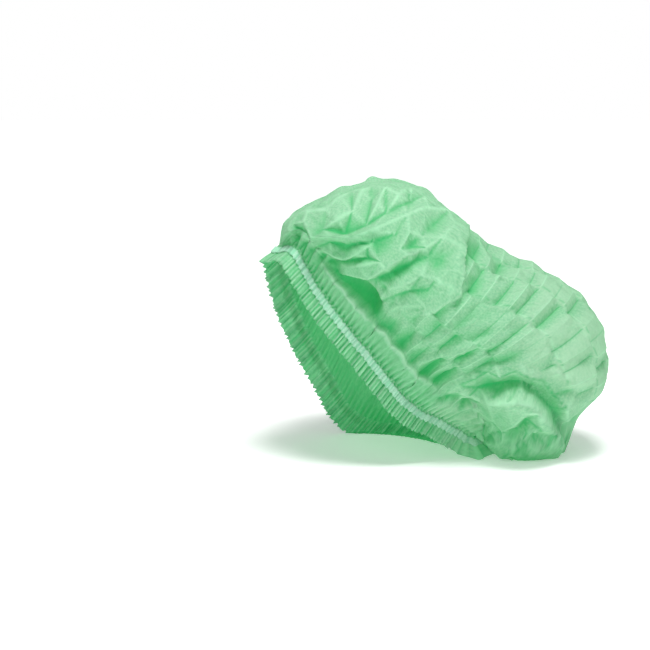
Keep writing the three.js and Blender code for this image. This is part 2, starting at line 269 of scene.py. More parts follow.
# The large folds. Each one is a crest that runs through (along, across, height in mm). Past the crest the
# cloth drops steeply towards the side named, into a valley that is a share of the height deep, and the crest
# leans that far over it.
FOLD_COLUMNS = ("steep", "gentle", "drop", "valley", "valley_width", "lean", "crest")
FOLDS = (
    # The collar's upper edge, which stands free of the crown behind it.
    (
        "top", 11, 2.8, 1.3, 8, 3.5,
        ((0.160, 0.032, 2), (0.185, 0.030, 6), (0.215, 0.029, 8), (0.225, 0.026, 7), (0.26, 0.029, 9),
         (0.285, 0.025, 8), (0.31, 0.027, 9), (0.33, 0.024, 8), (0.35, 0.028, 8), (0.37, 0.025, 6),
         (0.39, 0.028, 2)),
    ),
    (
        "top", 9, 2.0, 0.9, 6, 3.0,
        ((0.385, 0.030, 2), (0.41, 0.025, 5), (0.44, 0.031, 5), (0.475, 0.026, 6), (0.52, 0.032, 5),
         (0.55, 0.026, 6), (0.58, 0.030, 5), (0.61, 0.024, 6), (0.635, 0.030, 5), (0.70, 0.032, 2)),
    ),
    # The left lobe's edge, which lies in front of the right lobe.
    (
        "right", 16, 3.0, 0.7, 9, 3.5,
        ((0.462, 0.50, 2), (0.464, 0.43, 5), (0.466, 0.375, 6), (0.478, 0.33, 5.5), (0.495, 0.285, 5),
         (0.510, 0.250, 3)),
    ),
    (
        "rim", 12, 3.0, 0.6, 8, 2.0,
        ((0.515, 0.250, 3), (0.504, 0.215, 4), (0.494, 0.168, 4), (0.482, 0.135, 1)),
    ),
    # The pouch's upper edge, which leans over the hollow behind it.
    (
        "left", 12, 2.2, 0.35, 5, 1.0,
        ((0.822, 0.077, 1), (0.818, 0.106, 3), (0.828, 0.146, 5), (0.832, 0.172, 6), (0.855, 0.196, 4),
         (0.878, 0.212, 2), (0.915, 0.256, 1), (0.939, 0.318, 2), (0.946, 0.363, 2)),
    ),
    # A crease on the right.
    ("rim", 12, 3.0, 0.6, 8, 1.0, ((0.672, 0.070, 1), (0.670, 0.120, 3), (0.667, 0.168, 1))),
)


# Crumpled parts of the cloth: creases between flat facets. Each runs through corners (along, across, mm out
# of the smooth form). A corner that stands alone is joined up with those nearest to it.
LOBE_CREASES = (
    # The upper ridge, from the left end to the top right.
    ((0.125, 0.19, 3), (0.192, 0.206, 5), (0.252, 0.216, 6), (0.297, 0.247, 5), (0.36, 0.321, 4),
     (0.387, 0.378, 3), (0.427, 0.437, 1)),
    # The groove above that ridge.
    ((0.163, 0.264, -3), (0.223, 0.243, -5), (0.275, 0.277, -3), (0.318, 0.316, -2), (0.35, 0.358, -1)),
    # A crease up from the groove to the top line.
    ((0.168, 0.356, 1), (0.203, 0.287, 2), (0.223, 0.243, -5)),
    # Two creases that fan out to the top right.
    ((0.275, 0.277, -3), (0.294, 0.34, 2), (0.302, 0.406, 1)),
    # The groove between the two ridges.
    ((0.167, 0.151, -3), (0.239, 0.186, -3), (0.307, 0.221, -2), (0.354, 0.266, 0)),
    # The lower ridge.
    ((0.119, 0.043, 3), (0.184, 0.107, 4), (0.228, 0.118, 5), (0.263, 0.159, 4), (0.293, 0.196, 2)),
    # The groove below it.
    ((0.171, 0.048, -3), (0.243, 0.118, -2), (0.299, 0.16, -1)),
    # The upper edge of the bright leaf.
    ((0.206, 0.049, 2), (0.238, 0.095, 4), (0.284, 0.132, 5), (0.335, 0.169, 4), (0.372, 0.235, 2)),
    # Its lower edge.
    ((0.251, 0.071, 6), (0.322, 0.11, 8), (0.355, 0.162, 7), (0.391, 0.233, 5), (0.414, 0.277, 3)),
    # Under the leaf's edge.
    ((0.263, 0.06, -2), (0.336, 0.103, -5), (0.372, 0.156, -5), (0.406, 0.228, -3), (0.426, 0.269, -1)),
    # Small facets at the right of the leaf.
    ((0.376, 0.286, 3), (0.39, 0.261, -2), (0.399, 0.301, 2)),
    # Two creases that spread from the end of the hollow.
    ((0.384, 0.12, 2), (0.409, 0.159, 4), (0.431, 0.21, 4), (0.46, 0.23, 2), (0.49, 0.239, 3)),
    # The groove beside them.
    ((0.404, 0.113, -2), (0.428, 0.155, -2), (0.461, 0.196, -2), (0.489, 0.211, 0)),
    # Single corners.
    ((0.111, 0.316, 0),), ((0.125, 0.374, 2),), ((0.2, 0.395, 2),), ((0.232, 0.327, -1),),
    ((0.249, 0.401, 2),), ((0.273, 0.367, -2),), ((0.335, 0.372, 3),), ((0.361, 0.379, -2),),
    ((0.356, 0.439, 0),), ((0.383, 0.42, 2),), ((0.414, 0.367, -2),), ((0.432, 0.329, 2),),
    ((0.443, 0.393, 1),), ((0.465, 0.338, 2),), ((0.48, 0.287, 1),), ((0.449, 0.275, -2),),
    ((0.476, 0.157, 0),), ((0.427, 0.103, 1),),
)
# The facets end on the smooth form at these places round the lobe.
LOBE_BORDER = (
    (0.05, 0.42), (0.03, 0.34), (0.03, 0.247), (0.059, 0.02), (0.11, 0.03), (0.16, 0.035), (0.21, 0.037),
    (0.263, 0.036), (0.32, 0.04), (0.367, 0.043), (0.41, 0.055), (0.45, 0.097), (0.487, 0.141), (0.51, 0.207),
    (0.524, 0.254), (0.497, 0.312), (0.477, 0.377), (0.472, 0.428), (0.443, 0.448), (0.411, 0.444),
    (0.381, 0.446), (0.35, 0.450), (0.314, 0.440), (0.269, 0.442), (0.224, 0.450), (0.187, 0.448),
    (0.134, 0.450), (0.09, 0.44),
)
POUCH_CREASES = (
    # The pouch's upper edge.
    ((0.822, 0.077, 3), (0.818, 0.106, 9), (0.828, 0.146, 12), (0.832, 0.172, 12), (0.855, 0.196, 11),
     (0.878, 0.212, 10), (0.915, 0.256, 9), (0.939, 0.318, 7), (0.946, 0.363, 4)),
    # The hollow behind that edge.
    ((0.78, 0.09, -2), (0.79, 0.119, -5), (0.8, 0.148, -7), (0.81, 0.181, -7), (0.835, 0.205, -9),
     (0.868, 0.225, -9), (0.903, 0.262, -7), (0.936, 0.336, -5), (0.946, 0.418, -2)),
    # The edge of the first leaf.
    ((0.869, 0.182, 13), (0.901, 0.156, 12), (0.941, 0.141, 11), (0.952, 0.149, 9), (0.962, 0.18, 5)),
    # The hollow under it.
    ((0.899, 0.18, 2), (0.932, 0.176, 2), (0.947, 0.168, 3)),
    # The edge of the second leaf.
    ((0.936, 0.208, 10), (0.949, 0.19, 10), (0.977, 0.202, 6)),
    # The hollow under that one.
    ((0.936, 0.223, 1), (0.947, 0.212, 2), (0.964, 0.203, 3)),
    # The flap that leads to the pouch.
    ((0.761, 0.055, 3), (0.781, 0.068, 5)),
    # The hollow beside the elastic.
    ((0.741, 0.024, -5), (0.77, 0.038, -6), (0.814, 0.047, -4)),
    # Two folds that run in from the gathers.
    ((0.979, 0.047, 2), (0.95, 0.097, 6), (0.943, 0.134, 7)),
    # The second one.
    ((1, 0.01, 2), (0.974, 0.094, 6), (0.961, 0.139, 7)),
    # A crease above the pouch.
    ((0.73, 0.108, 3), (0.737, 0.131, -1), (0.764, 0.149, 3), (0.771, 0.182, -1), (0.8, 0.206, 2),
     (0.822, 0.235, -2)),
    # Creases at the right of the pouch.
    ((0.863, 0.256, -4), (0.891, 0.285, 4), (0.918, 0.349, 2)),
    # Single corners.
    ((0.896, 0.099, 9),), ((0.945, 0.055, 4),), ((0.923, 0.239, 9),), ((0.946, 0.298, 5),),
    ((0.948, 0.258, 7),), ((0.954, 0.251, 2),), ((0.962, 0.084, -1),), ((0.851, 0.047, 2),),
    ((0.742, 0.038, 1),), ((0.732, 0.068, 2),), ((0.933, 0.378, -3),), ((0.926, 0.327, 4),),
)
# The facets end on the smooth form at these places round the pouch.
POUCH_BORDER = (
    (0.72, 0.02), (0.76, 0.02), (0.80, 0.02), (0.85, 0.02), (0.90, 0.02), (0.95, 0.02), (0.70, 0.06),
    (0.70, 0.11), (0.72, 0.16), (0.745, 0.20), (0.78, 0.24), (0.82, 0.28), (0.86, 0.32), (0.90, 0.38),
    (0.93, 0.44), (0.96, 0.44), (0.98, 0.34), (0.985, 0.25),
)


def joined(creases, border):
    """All corners of a net, the pairs of them that its creases join, and how many lie inside its border."""
    corners = []
    pairs = []
    for crease in creases:
        start = len(corners)
        corners += list(crease)
        pairs += [(k, k + 1) for k in range(start, len(corners) - 1)]
    inside = len(corners)
    corners += [(along, across, 0.0) for along, across in border]
    return np.array(corners), pairs, inside


def triangles_between(points, pairs):
    """The triangles that join these points, with a side along every pair, as rows of three point numbers."""
    made = delaunay_2d_cdt([Vector((float(x), float(y))) for x, y in points], pairs, [], 0, 1e-5)
    origin = [group[0] if group else None for group in made[3]]
    triangles = [[origin[k] for k in face] for face in made[2]]
    return np.array([triangle for triangle in triangles if None not in triangle])


def facet_edges(joints, triangles, middle):
    """The lines between neighbouring facets, and how sharply each is bent: above 0 where it stands out."""
    normals = {}
    for number, (a, b, c) in enumerate(triangles):
        normal = unit(np.cross(joints[b] - joints[a], joints[c] - joints[a]))
        normals[number] = normal * (1 if normal @ (joints[a] - middle) > 0 else -1)
    beside = {}
    for number, triangle in enumerate(triangles):
        for k in range(3):
            pair = tuple(sorted((int(triangle[k]), int(triangle[(k + 1) % 3]))))
            beside.setdefault(pair, []).append(number)
    edges = []
    for (a, b), numbers in beside.items():
        if len(numbers) == 2:
            one, two = numbers
            bend = math.acos(max(-1.0, min(1.0, float(normals[one] @ normals[two]))))
            across = joints[triangles[two]].mean(axis=0) - joints[triangles[one]].mean(axis=0)
            turned = 1 if across @ normals[one] < 0 else -1
            edges.append((a, b, turned * min(bend / math.radians(FULL_BEND), 1)))
    return edges


def facet_net(across, place, creases, border):
    """Flat triangles in space between the corners: the place of each point on them, how far it belongs to
    them, and how close it is to a line between two of them, signed and scaled by the bend, which is painted
    as a paler line where it stands out and a darker one where it sinks in."""
    corners, pairs, inside_count = joined(creases, border)
    outward, _, _ = directions(corners[:, 0], corners[:, 1])
    foot = smooth_form(corners[:, 0], corners[:, 1])
    joints = foot + outward * corners[:, 2:]
    # The net lies on the near side only, and is joined up as it is seen from the front.
    spots = foot[:, (0, 2)]
    x = place[..., 0]
    y = np.where(across < 0.5, place[..., 2], -1e6)
    triangles = triangles_between(spots, pairs)
    on_facets = place.copy()
    share = np.zeros(across.shape)
    for first, second, third in triangles:
        (ax, ay), (bx, by), (cx, cy) = spots[first], spots[second], spots[third]
        whole = (bx - ax) * (cy - ay) - (cx - ax) * (by - ay)
        if abs(whole) < 1e-6:
            continue
        to_second = ((x - ax) * (cy - ay) - (cx - ax) * (y - ay)) / whole
        to_third = ((bx - ax) * (y - ay) - (x - ax) * (by - ay)) / whole
        to_first = 1 - to_second - to_third
        inside = (to_first >= -1e-6) & (to_second >= -1e-6) & (to_third >= -1e-6)
        here = to_first[..., None] * joints[first] + to_second[..., None] * joints[second]
        here = here + to_third[..., None] * joints[third]
        on_facets = np.where(inside[..., None], here, on_facets)
        inner = [float(k < inside_count) for k in (first, second, third)]
        belongs = to_first * inner[0] + to_second * inner[1] + to_third * inner[2]
        share = np.where(inside, belongs, share)
    line = np.zeros(across.shape)
    for a, b, bend in facet_edges(joints, triangles, foot.mean(axis=0)):
        leg = spots[b] - spots[a]
        from_x = x - spots[a, 0]
        from_y = y - spots[a, 1]
        t = np.clip((from_x * leg[0] + from_y * leg[1]) / max(float(leg @ leg), 1e-6), 0, 1)
        gap = np.hypot(from_x - t * leg[0], from_y - t * leg[1])
        mark = bend * np.exp(-((gap / LINE_WIDTH) ** 2))
        line = np.where(np.abs(mark) > np.abs(line), mark, line)
    share = smoothstep(share, 0.0, 0.6)
    return on_facets, share, line * share


# Hollows pressed into the cloth. Each is (along, across, how deep, about how wide), the last two in mm.
# A depth below 0 is a swelling.
DENTS = (
    (0.268, 0.045, 2, 6), (0.292, 0.047, 4, 6), (0.320, 0.048, 8, 6), (0.346, 0.049, 10, 6),
    (0.368, 0.044, 8, 5), (0.372, 0.100, 5, 4), (0.565, 0.50, -6, 20), (0.452, 0.50, 6, 13),
    # The uneven top line of the left lobe.
    (0.268, 0.505, -3.5, 8), (0.243, 0.51, 3, 7), (0.33, 0.50, 2.5, 9), (0.385, 0.50, -2.5, 9),
    (0.20, 0.50, -2, 8), (0.15, 0.50, 2, 8),
)


def dent_field(place):
    """How far the hollows lower each point."""
    sunk = np.zeros(place.shape[:-1])
    for along, across, depth, width in DENTS:
        middle = smooth_form(np.array([along]), np.array([across]))[0]
        gap = np.linalg.norm(place - middle, axis=-1)
        sunk -= depth * np.exp(-((gap / width) ** 2))
    return sunk


def fold_field(place, outward, run_along, run_across, fold):
    """How far one fold lifts each point, how far it pulls it over, and how close it is to the fold's edge."""
    steep, gentle, drop, valley, valley_width, lean, crest = fold
    crest = np.array(crest)
    joints = smooth_form(crest[:, 0], crest[:, 1])
    heights = crest[:, 2]
    nearest = np.full(place.shape[:-1], 1e9)
    height = np.zeros(place.shape[:-1])
    signed = np.zeros(place.shape[:-1])
    side = np.zeros(place.shape)
    for k in range(len(joints) - 1):
        leg = joints[k + 1] - joints[k]
        length = float(np.linalg.norm(leg))
        t = np.clip((place - joints[k]) @ leg / length**2, 0, 1)
        gap = place - (joints[k] + t[..., None] * leg)
        distance = np.linalg.norm(gap, axis=-1)
        aside = unit(np.cross(outward, leg / length))
        if steep in ("top", "rim"):
            turn = np.sign((aside * run_across).sum(-1)) * (1 if steep == "top" else -1)
        else:
            turn = np.sign((aside * run_along).sum(-1)) * (1 if steep == "right" else -1)
        aside = aside * turn[..., None]
        closer = distance < nearest
        nearest = np.where(closer, distance, nearest)
        height = np.where(closer, heights[k] * (1 - t) + heights[k + 1] * t, height)
        signed = np.where(closer, np.sign((gap * aside).sum(-1)) * distance, signed)
        side = np.where(closer[..., None], aside, side)
    rounded = np.sqrt(nearest**2 + 1.0) - 1.0
    gently = np.exp(-rounded / gentle) * (1 - smoothstep(nearest, 1.2 * gentle, 2.6 * gentle))
    steeply = (1 + valley) * np.exp(-rounded / drop) - valley * np.exp(-rounded / valley_width)
    lift = height * np.where(signed > 0, steeply, gently)
    tallest = max(heights.max(), 1e-6)
    pull = lean * height / tallest * np.where(
        signed > 0, np.exp(-nearest / drop), np.exp(-((nearest / (lean + 2)) ** 2))
    )
    line = np.exp(-((nearest / LINE_WIDTH) ** 2)) * np.clip(height / FULL_EDGE, 0, 1)
    return lift, side * pull[..., None], line


class Pleats:
    """The pressed pleats: crests and valleys take turns along the sheet and change places at each cross fold.

    The mesh is laid out on even panels and bands first. Then its columns and rows are moved so that they run
    exactly in the creases, which lie a little unevenly, and differently in each band between two cross folds.
    """

    def __init__(self, rng):
        self.bands = (np.arange(BANDS + 1) + rng.uniform(-0.22, 0.22, BANDS + 1)) / BANDS
        self.bands[0] = 0
        self.bands[-1] = 1
        self.shifts = rng.uniform(-0.30, 0.30, (BANDS + 1, PANELS + 1)) / PANELS
        self.shifts[:, 0] = 0
        self.shifts[:, -1] = 0
        turns = (-1.0) ** (np.arange(PANELS + 1)[None, :] + np.arange(BANDS + 1)[:, None])
        self.heights = turns * rng.uniform(0.2, 1.35, turns.shape)

    def columns(self):
        places = [(cell + share) / PANELS for cell in range(PANELS) for share in PANEL_COLUMNS]
        return np.array(places + [1.0])

    def rows(self):
        """Row places on the even layout: closer beside the rims, for the collar, and at each cross fold."""
        places = []
        for band in range(BANDS):
            shares = NEAR_BAND_ROWS if band < BANDS / 2 else FAR_BAND_ROWS
            places += [(band + share) / BANDS for share in shares]
        places = [p for p in places if RIM_ROWS[-1] + 0.004 < p < 1 - RIM_ROWS[-1] - 0.004]
        return np.array(list(RIM_ROWS) + places + [1 - p for p in reversed(RIM_ROWS)])

    def between_bands(self, even_rows):
        """For each row its band, and how far it has gone over from that band's creases to the next band's."""
        band = np.clip((even_rows * BANDS).astype(int), 0, BANDS - 1)
        share = even_rows * BANDS - band
        return band, smoothstep(share, 0.86, 1.0)

    def mixed(self, values, even_columns, even_rows):
        """A value given at each crease of each band, spread over the grid."""
        band, over = self.between_bands(even_rows)
        knots = np.arange(PANELS + 1) / PANELS
        lines = np.array([np.interp(even_columns, knots, row) for row in values])
        return (lines[band] * (1 - over)[:, None] + lines[band + 1] * over[:, None]).T

    def layout(self, even_columns, even_rows):
        """The true place of each grid point on the sheet."""
        fade = smoothstep(1 - np.abs(2 * even_rows - 1), 0.13, 0.22)[None, :]
        along = even_columns[:, None] + self.mixed(self.shifts, even_columns, even_rows) * fade
        knots = np.arange(BANDS + 1) / BANDS
        moved = np.interp(even_rows, knots, self.bands) - even_rows
        bend = 0.010 * noise(even_columns * 9, even_columns * 0 + 0.5, 61)
        bend = bend + 0.006 * noise(even_columns * 23, even_columns * 0 + 0.5, 62)
        across = even_rows[None, :] + (moved[None, :] + bend[:, None]) * fade
        return along, across

    def lift(self, even_columns, even_rows):
        return self.mixed(self.heights, even_columns, even_rows)

    def crease(self, even_columns, even_rows):
        """How sharply each point is creased: above 0 on a crest, below 0 in a valley."""
        to_crease = np.abs(even_columns * PANELS - np.round(even_columns * PANELS))
        line = np.exp(-((to_crease / 0.05) ** 2))[:, None]
        to_cross = np.abs(even_rows * BANDS - np.round(even_rows * BANDS))
        cross = np.exp(-((to_cross / 0.03) ** 2))[None, :]
        lift = self.lift(even_columns, even_rows)
        return np.clip(np.clip(1.4 * lift, -1, 1) * line - 0.7 * np.sign(lift) * cross * (1 - line), -1, 1)


def painted_shade_by_part(along, across, place):
    """Painted shade and painted light by part of the cloth: above 0 a deeper green where several layers lie
    together and light falls less, on the collar, the left end, the pouch, the low part and the front; below 0
    paler where it is a single layer or catches the light."""
    from_rim = np.minimum(across, 1 - across)
    collar = 0.42 * (1 - smoothstep(from_rim, 0.026, 0.040))
    left_end = 0.34 * (1 - smoothstep(along, 0.28, 0.40)) * (1 - smoothstep(across, 0.20, 0.36))
    pouch = 0.34 * smoothstep(along, 0.80, 0.86) * (1 - smoothstep(across, 0.19, 0.26))
    low = 0.30 * (1 - smoothstep(place[..., 2], 25, 95))
    front = 0.16 * (1 - smoothstep(across, 0.24, 0.42))
    most = np.maximum(np.maximum(np.maximum(collar, left_end), np.maximum(pouch, low)), front)
    # Painted light: at the free right-hand end the cloth is a single layer, painted paler than the rest.
    single = smoothstep(place[..., 0], 30, 95) * smoothstep(place[..., 2], 28, 72)
    # Painted highlight: the bunched cloth beside the elastic's low end catches the light.
    bunch = smoothstep(along, 0.72, 0.79) * (1 - smoothstep(across, 0.050, 0.085))
    painted_paleness = np.maximum(0.35 * single, 0.2 * bunch)
    return most * (1 - np.maximum(single, bunch)) - painted_paleness


def hollowness(height):
    """How far each grid point lies below the cloth around it, from 0 to 1."""
    around = height
    for axis, reach in ((0, 9), (1, 7)):
        padded = np.pad(around, [(reach, reach) if k == axis else (0, 0) for k in (0, 1)], mode="edge")
        total = np.cumsum(padded, axis=axis)
        zero = np.zeros_like(np.take(total, [0], axis=axis))
        total = np.concatenate([zero, total], axis=axis)
        width = 2 * reach + 1
        high = np.take(total, range(width, total.shape[axis]), axis=axis)
        low = np.take(total, range(0, total.shape[axis] - width), axis=axis)
        around = (high - low) / width
    return np.clip((around - height) / DEPTH_FOR_FULL_SHADE, 0, 1)


def loop_length(along, across):
    """Millimetres along the near or far rim to each column."""
    run = np.linspace(0, 1, 801)
    lengths = []
    for side in (0.0, 1.0):
        line = smooth_form(run, np.full(run.shape, side))
        lengths.append(np.concatenate([[0], np.cumsum(np.linalg.norm(np.diff(line, axis=0), axis=1))]))
    near = np.interp(along, run, lengths[0])
    far = np.interp(along, run, lengths[1])
    return np.where(across <= 0.5, near, far)


def large_folds(place, outward, run_along, run_across):
    """How far the large folds lift each point and pull it over, and how close it is to an edge of theirs."""
    lift = np.zeros(place.shape[:-1])
    pull = np.zeros(place.shape)
    edge_line = np.zeros(place.shape[:-1])
    for fold in FOLDS:
        up, over, line = fold_field(place, outward, run_along, run_across, fold)
        lift += up
        pull += over
        edge_line = np.maximum(edge_line, line)
    return lift, pull, edge_line


def crumples(along, across, right_side):
    """The wide and the fine crumpling of the cloth in mm, of which the left lobe has less."""
    flat_x = along * SHEET_LENGTH
    flat_y = across * SHEET_BREADTH
    tilt_x = flat_x * 0.8 + flat_y * 0.6
    tilt_y = flat_y * 0.8 - flat_x * 0.6
    wide = 3.6 * facets(tilt_x / 66, tilt_y / 50, 3) + 2.6 * facets(flat_x / 34, tilt_y / 27, 5)
    fine = 1.5 * facets(tilt_x / 19, flat_y / 16, 6) + 0.6 * facets(flat_x / 9.5, flat_y / 11, 7)
    return wide * (0.3 + 0.7 * right_side), fine * (0.7 + 0.1 * right_side)


def pleat_depth(along, across, right_side):
    """How deep the pressed pleats still are, in mm: little on the left lobe and along the top line."""
    depth = 0.7 + 2.2 * right_side
    depth = depth * (1 - 0.5 * smoothstep(along, 0.84, 0.90))
    return depth * (1 - 0.65 * np.exp(-(((across - 0.5) / 0.08) ** 2)))


def end_flutes(along, across, to_end, rim_run):
    """The wider flutes at both ends of the rim: how high they are, and how free their upper ends stand."""
    ends = 1 - smoothstep(along, 0.13, 0.20) + smoothstep(along, 0.76, 0.84)
    flute = np.cos(2 * math.pi * rim_run / FLUTE_PITCH + 1.6 * noise(rim_run / 23, rim_run * 0 + 8.1, 13))
    flute = np.maximum(flute, -0.2) * ends * smoothstep(to_end, 0.0, 0.03)
    from_rim = np.minimum(across, 1 - across)
    tip = FLUTE_TIP + 0.008 * noise(rim_run / 9, rim_run * 0 + 5.1, 14)
    ramp = np.minimum(from_rim / tip, 1) * (1 - 1.25 * smoothstep(from_rim, tip + 0.001, tip + 0.008))
    ramp = ramp * (1 - smoothstep(from_rim, tip + 0.012, tip + 0.035))
    free = np.exp(-(((from_rim - tip) / 0.007) ** 2)) * np.maximum(flute, 0)
    return FLUTE_HEIGHT * flute * ramp, free


def make_sheet():
    """The crown's grid of points, their places on the sheet, and its painted crease lines and painted shade
    and light.
    """
    rng = np.random.default_rng(SEED)
    pleats = Pleats(rng)
    even_columns = pleats.columns()
    even_rows = pleats.rows()
    along, across = pleats.layout(even_columns, even_rows)
    # One row of points is moved so that it runs exactly along the collar's upper edge.
    crest = FOLD_COLUMNS.index("crest")
    collar_edge = np.array(FOLDS[0][crest] + FOLDS[1][crest][1:])
    near_row = np.clip(1 - np.abs(across - COLLAR_ROW) / COLLAR_ROW_REACH, 0, 1)
    across = across + (np.interp(along, collar_edge[:, 0], collar_edge[:, 1]) - COLLAR_ROW) * near_row
    place = smooth_form(along, across)
    outward, run_along, run_across = directions(along, across)

    # How far each point is from the rim and from the two ends, as shares.
    to_rim = 1 - np.abs(2 * across - 1)
    to_end = np.minimum(along, 1 - along)
    edge_fade = np.minimum(to_end / 0.05, 1) * smoothstep(to_rim, 0.0, 0.10)
    right_side = smoothstep(along, 0.37, 0.50)

    lift, pull, edge_line = large_folds(place, outward, run_along, run_across)
    lift += dent_field(place)
    wide, fine = crumples(along, across, right_side)
    pleat = pleats.lift(even_columns, even_rows)
    small = edge_fade * (pleat * pleat_depth(along, across, right_side) + wide + fine)
    # Painted highlight and shade: the crease values make the cloth paler on the pleats' crests and deeper
    # green in their valleys.
    crease = pleats.crease(even_columns, even_rows) * edge_fade * (0.35 + 0.65 * right_side)

    # Where the cloth is crumpled into flat facets, little is left of its pleats, and the lines between facets
    # are painted lighter where they stand out and darker where they sink in.
    on_facets = place.copy()
    for creases, border, smoothed in ((LOBE_CREASES, LOBE_BORDER, 0.65), (POUCH_CREASES, POUCH_BORDER, 0.9)):
        flat_place, share, line = facet_net(across, place, creases, border)
        on_facets = on_facets + (flat_place - place) * share[..., None]
        small = small * (1 - smoothed * share)
        crease = crease * (1 - smoothed * share) + line
    lift = lift + small

    # The gathers that the elastic draws in reach a little way up the collar.
    rim_run = loop_length(along, across)
    gather = np.cos(2 * math.pi * rim_run / RUFFLE_PITCH + 1.3 * noise(rim_run / 17, rim_run * 0 + 3.3, 12))
    reach = np.exp(-((to_rim * SHEET_BREADTH / 2 / GATHER_REACH) ** 2))
    lift = lift + GATHER_HEIGHT * gather * reach

    flutes, free = end_flutes(along, across, to_end, rim_run)
    lift = lift + flutes
    pull = pull + run_across * (FLUTE_LEAN * free * np.where(across < 0.5, 1, -1))[..., None]

    crown = on_facets + outward * lift[..., None] + pull
    crown[..., 2] = np.maximum(crown[..., 2], CLOTH_LOWEST)
    # Painted highlight and shade also lie along the large folds' edges and on the gathers by the elastic.
    crease = np.clip(crease + edge_line + 0.8 * gather * reach, -1, 1)
    # Painted shade: cloth that lies below the cloth around it is painted a deeper green, less so at the
    # right-hand end.
    hollow = hollowness(((crown - place) * outward).sum(-1)) * (1 - 0.35 * smoothstep(along, 0.76, 0.82))
    # Painted highlight: a free edge catches the light, so its painted shade is mostly taken away along it.
    hollow = (hollow + painted_shade_by_part(along, across, place)) * (1 - 0.8 * edge_line)
    return crown, along, across, crease, np.clip(hollow, -1, 1)


# The frill from the rim down. Each ring is (how far down, how far out, how deep its ruffles are), in mm.
# Under the elastic the ruffles are pressed flatter.
FRILL_ROWS = (
    (0.8, 0.0, 0.80), (1.6, 0.0, 0.60), (2.4, 0.0, 0.45), (3.4, 0.0, 0.30), (5.0, 0.0, 0.25),
    (6.6, 0.0, 0.30), (8.0, 0.0, 0.45), (9.2, 0.1, 0.95), (10.6, 0.3, 1.35), (12.2, 0.6, 1.60),
    (14.0, 0.9, 1.80), (16.0, 1.2, 1.95), (18.0, 1.5, 2.10), (FRILL_END, 1.7, 2.25),
)
# The elastic's cross section, as (how far below its upper edge, how far out) in mm.
ELASTIC_PROFILE = (
    (0.0, 0.62), (0.25, 1.12), (1.6, 1.28), (3.2, 1.18), (4.8, 1.28), (6.15, 1.12), (6.4, 0.62), (3.2, 0.55),
)


def frill(edge):
    """Rings below the closed line of the crown's edge, ruffled more and more towards the free edge."""
    ahead = np.roll(edge, -1, axis=0) - edge
    steps = np.linalg.norm(ahead, axis=1)
    run = np.concatenate([[0], np.cumsum(steps)[:-1]])
    total = steps.sum()
    ruffles = round(total / RUFFLE_PITCH)
    # The line is evened out before its direction is read, so that small steps don't turn the frill.
    even = np.linspace(0, total, 400, endpoint=False)
    closed = np.concatenate([edge, edge[:1]])
    closed_run = np.concatenate([run, [total]])
    line = np.stack([np.interp(even, closed_run, closed[:, k]) for k in range(3)], axis=-1)
    tangent = unit(np.roll(line, -2, axis=0) - np.roll(line, 2, axis=0))
    for _ in range(6):
        tangent = unit(np.roll(tangent, 1, axis=0) + tangent + np.roll(tangent, -1, axis=0))
    wrapped = np.concatenate([tangent, tangent[:1]])
    even_closed = np.append(even, total)
    along_edge = np.stack([np.interp(run, even_closed, wrapped[:, k]) for k in range(3)], axis=-1)
    along_edge = unit(along_edge)
    # At the low end the cap's own weight spreads the frill sideways under the crown.
    spread = smoothstep(edge[:, 0], FRILL_SPREAD_FROM, FRILL_SPREAD_TO)[:, None]
    down = unit(-UP * (1 - 0.75 * spread) + np.array([1.0, -0.1, -0.25]) * spread)
    out = unit(np.cross(down, along_edge))
    phase = 2 * math.pi * run / total * ruffles
    uneven = 0.9 * noise(run / 13, run * 0 + 1.7, 21) + 0.5 * noise(run / 5.1, run * 0 + 4.2, 22)
    rings = []
    shades = []
    for drop, flare, wave in FRILL_ROWS:
        swing = np.sin(phase + uneven * (0.6 + 0.5 * drop / FRILL_END))
        swing = swing * (0.75 + 0.35 * noise(run / 9, run * 0 + 7.5, 23))
        ragged = (0.9 * noise(run / 3.1, run * 0 + 2.5, 24) + 0.7 * swing) * (drop / FRILL_END) ** 3
        ring = edge + down * (drop + ragged)[:, None] + out * (flare + wave * swing)[:, None]
        ring[:, 2] = np.maximum(ring[:, 2], CLOTH_LOWEST)
        rings.append(ring)
        # Painted highlight on each ruffle's crest and painted shade in its valley.
        shades.append(np.clip(1.1 * swing, -1, 1))
    return rings, shades, run, total, out, down


def new_mesh(name, points, faces, uvs):
    """A smooth mesh object at the origin. Its points are given in millimetres and its uvs in metres."""
    mesh = bpy.data.meshes.new(name)
    mesh.from_pydata([tuple(p) for p in (np.asarray(points) * MM)], [], [tuple(f) for f in faces])
    layer = mesh.uv_layers.new(name="UVMap")
    index = np.zeros(len(mesh.loops), dtype=np.int32)
    mesh.loops.foreach_get("vertex_index", index)
    layer.data.foreach_set("uv", np.asarray(uvs)[index].astype(np.float32).ravel())
    mesh.polygons.foreach_set("use_smooth", [True] * len(mesh.polygons))
    mesh.update()
    thing = bpy.data.objects.new(name, mesh)
    bpy.context.scene.collection.objects.link(thing)
    return thing


